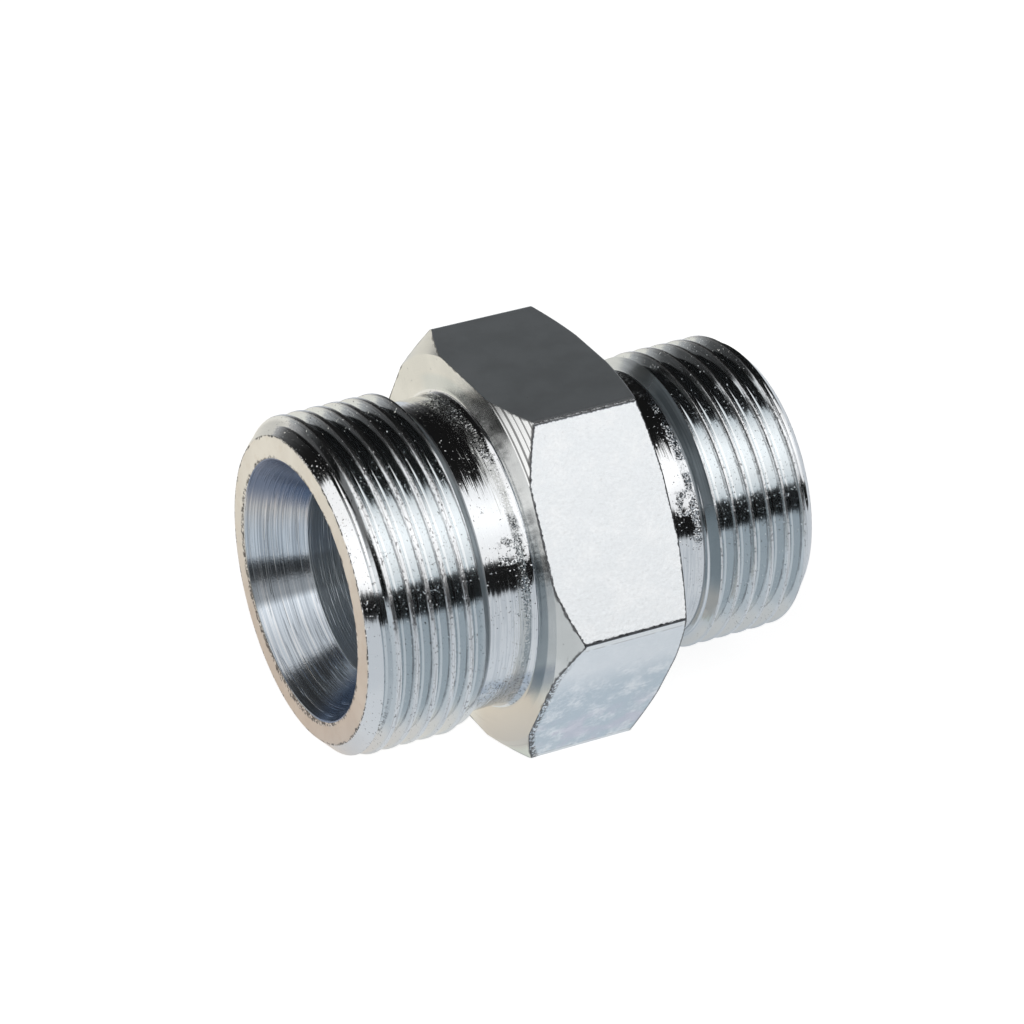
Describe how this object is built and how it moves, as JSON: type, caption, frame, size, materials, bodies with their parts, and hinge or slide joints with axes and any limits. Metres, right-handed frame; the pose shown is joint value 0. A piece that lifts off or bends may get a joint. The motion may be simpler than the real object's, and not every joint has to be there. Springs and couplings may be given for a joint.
{
  "type": "straight pipe coupling",
  "caption": "Straight male pipe coupling of plated steel with a spanner hexagon between a large and a small threaded end and a cone-seated through bore.",
  "frame": {"origin": "on the bore axis, midway between the two end faces", "axes": "+X along the bore axis towards the small end, +Z square to the flat of the hexagon that faces up, -Z square to the flat that the coupling lies on"},
  "size_m": [0.0392, 0.0346, 0.03],
  "materials": {
    "plated_steel": "bright zinc plate over turned and drawn steel"
  },
  "bodies": {
    "root": {"coupling_body": "plated_steel"}
  },
  "joints": []
}
